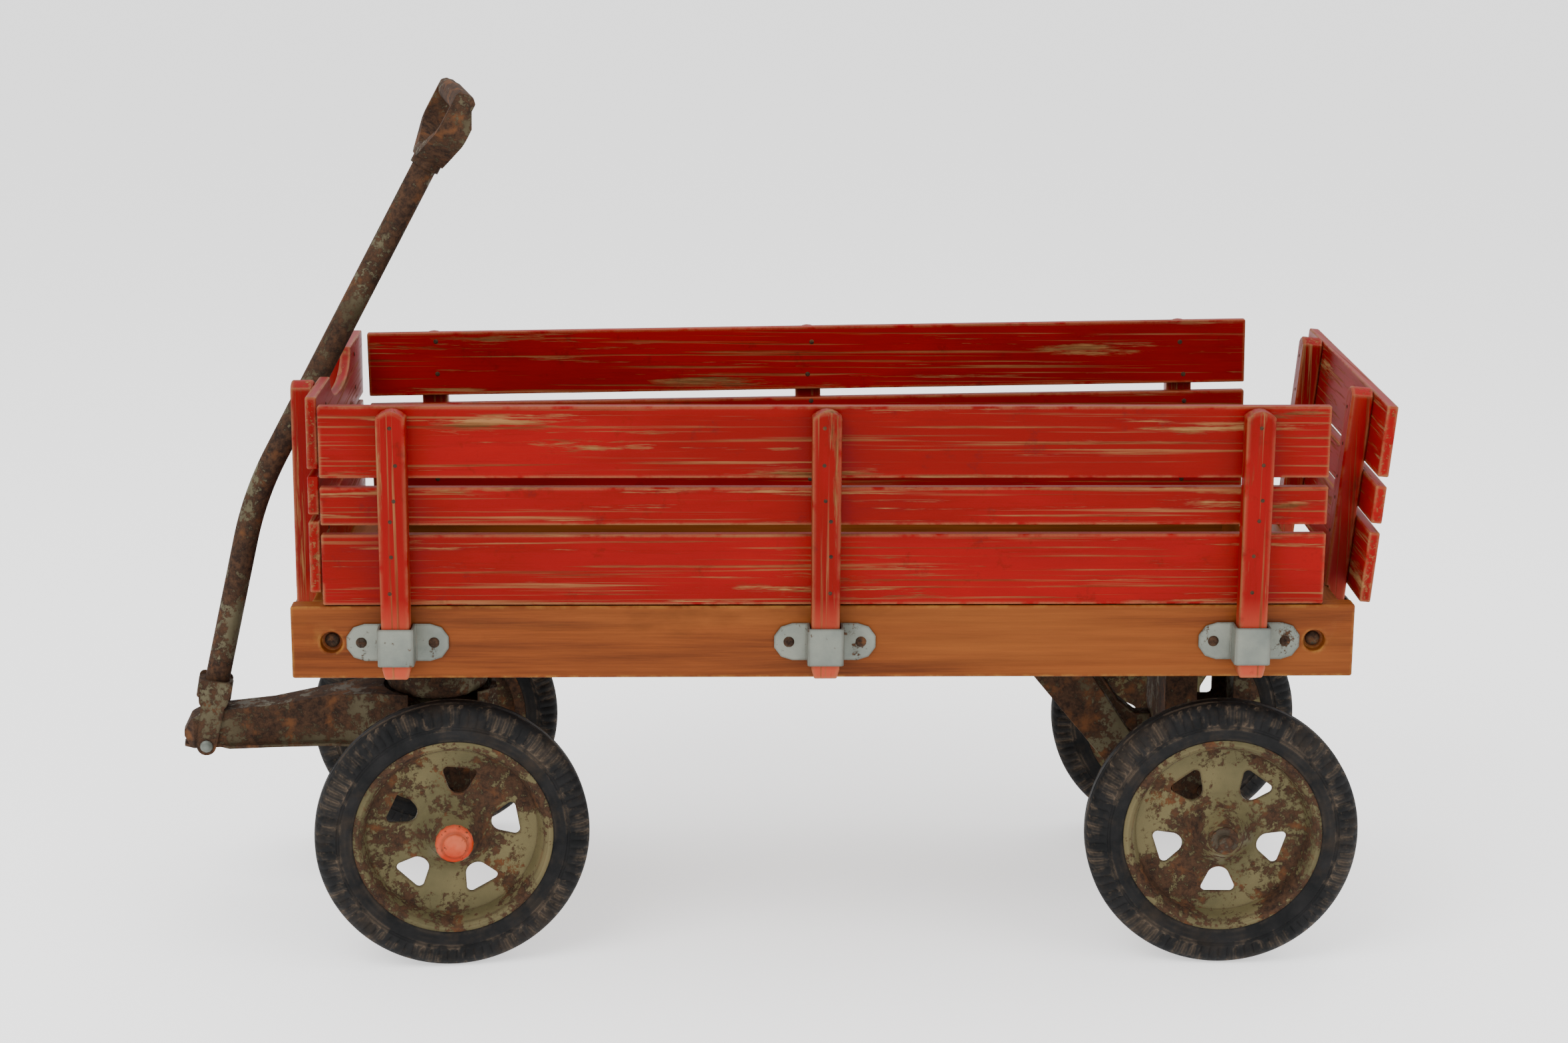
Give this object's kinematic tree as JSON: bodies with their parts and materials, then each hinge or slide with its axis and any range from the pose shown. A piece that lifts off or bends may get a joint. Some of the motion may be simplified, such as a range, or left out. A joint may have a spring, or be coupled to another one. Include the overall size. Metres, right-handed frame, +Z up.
{
  "type": "stake-sided pull wagon",
  "caption": "Old wooden pull wagon with red stake sides, steel running gear, rubber-tyred disc wheels and a folding steel handle.",
  "frame": {"origin": "on the floor, under the middle of the whole outline", "axes": "+X towards the rear of the wagon, +Y its right side, +Z up; the tongue points to -X"},
  "size_m": [1.0828, 0.4506, 0.761],
  "materials": {
    "rail_wood": "satin",
    "floor_wood": "matte",
    "red_paint": "worn paint",
    "galvanised_steel": "worn",
    "rusty_steel": "rusty",
    "dark_steel": "rusty",
    "wheel_paint": "flaking",
    "tyre_rubber": "matte",
    "cap_red": "satin"
  },
  "bodies": {
    "bed": {"left_rail": "rail_wood", "right_rail": "rail_wood", "front_rail": "rail_wood", "rear_rail": "rail_wood", "bed_floor": "floor_wood", "left_bracket_front": "galvanised_steel", "left_bracket_middle": "galvanised_steel", "left_bracket_rear": "galvanised_steel", "right_bracket_front": "galvanised_steel", "right_bracket_middle": "galvanised_steel", "right_bracket_rear": "galvanised_steel", "front_bracket_left": "galvanised_steel", "front_bracket_right": "galvanised_steel", "rear_bracket_left": "galvanised_steel", "rear_bracket_right": "galvanised_steel", "rear_axle_bracket": "rusty_steel", "rear_brace_left": "rusty_steel", "rear_brace_right": "rusty_steel", "rear_axle": "dark_steel", "turntable_drum": "rusty_steel", "kingpin": "dark_steel"},
    "left_panel": {"left_board_bottom": "red_paint", "left_board_middle": "red_paint", "left_board_top": "red_paint", "left_stake_front": "red_paint", "left_stake_middle": "red_paint", "left_stake_rear": "red_paint"},
    "right_panel": {"right_board_bottom": "red_paint", "right_board_middle": "red_paint", "right_board_top": "red_paint", "right_stake_front": "red_paint", "right_stake_middle": "red_paint", "right_stake_rear": "red_paint"},
    "front_panel": {"front_board_bottom": "red_paint", "front_board_middle": "red_paint", "front_board_top": "red_paint", "front_stake_left": "red_paint", "front_stake_right": "red_paint"},
    "rear_panel": {"rear_board_bottom": "red_paint", "rear_board_middle": "red_paint", "rear_board_top": "red_paint", "rear_stake_left": "red_paint", "rear_stake_right": "red_paint"},
    "steering_gear": {"tongue": "rusty_steel", "front_axle_bracket": "rusty_steel", "front_axle": "dark_steel"},
    "handle": {"handle_pivot_bolt": "galvanised_steel", "handle_fork": "rusty_steel", "handle_tube": "rusty_steel", "handle_grip": "rusty_steel"},
    "front_left_wheel_body": {"front_left_tyre": "tyre_rubber", "front_left_wheel": "wheel_paint", "front_left_hub_cap": "cap_red"},
    "front_right_wheel_body": {"front_right_tyre": "tyre_rubber", "front_right_wheel": "wheel_paint"},
    "rear_left_wheel_body": {"rear_left_tyre": "tyre_rubber", "rear_left_wheel": "wheel_paint"},
    "rear_right_wheel_body": {"rear_right_tyre": "tyre_rubber", "rear_right_wheel": "wheel_paint"}
  },
  "joints": [
    {"name": "steering", "type": "hinge", "parent": "bed", "child": "steering_gear", "pos_m": [-0.30945, 0, 0.2], "axis": [0, 0, 1], "range_deg": [-25, 10]},
    {"name": "handle_fold", "type": "hinge", "parent": "steering_gear", "child": "handle", "pos_m": [-0.52063, -0.0278, 0.159], "axis": [0.1305, -0.9914, 0], "range_deg": [0, 118]},
    {"name": "front_left_wheel_turn", "type": "hinge", "parent": "steering_gear", "child": "front_left_wheel_body", "pos_m": [-0.28238, -0.17496, 0.1205], "axis": [-0.1305, 0.9914, 0], "continuous": true},
    {"name": "front_right_wheel_turn", "type": "hinge", "parent": "steering_gear", "child": "front_right_wheel_body", "pos_m": [-0.32859, 0.17601, 0.1205], "axis": [-0.1305, 0.9914, 0], "continuous": true},
    {"name": "rear_left_wheel_turn", "type": "hinge", "parent": "bed", "child": "rear_left_wheel_body", "pos_m": [0.3962, -0.17692, 0.1205], "axis": [0.0302, 0.9995, 0], "continuous": true},
    {"name": "rear_right_wheel_turn", "type": "hinge", "parent": "bed", "child": "rear_right_wheel_body", "pos_m": [0.40689, 0.17692, 0.1205], "axis": [0.0302, 0.9995, 0], "continuous": true},
    {"name": "left_panel_lift", "type": "slide", "parent": "bed", "child": "left_panel", "axis": [0, 0, 1], "range_m": [0, 0.12]},
    {"name": "right_panel_lift", "type": "slide", "parent": "bed", "child": "right_panel", "axis": [-0.0169, 0, 0.9999], "range_m": [0, 0.12]},
    {"name": "rear_panel_lift", "type": "slide", "parent": "bed", "child": "rear_panel", "axis": [0.0906, -0.0026, 0.9959], "range_m": [0, 0.12]},
    {"name": "front_panel_lift", "type": "slide", "parent": "bed", "child": "front_panel", "axis": [-0.0005, 0.0251, 0.9997], "range_m": [0, 0.009]}
  ]
}
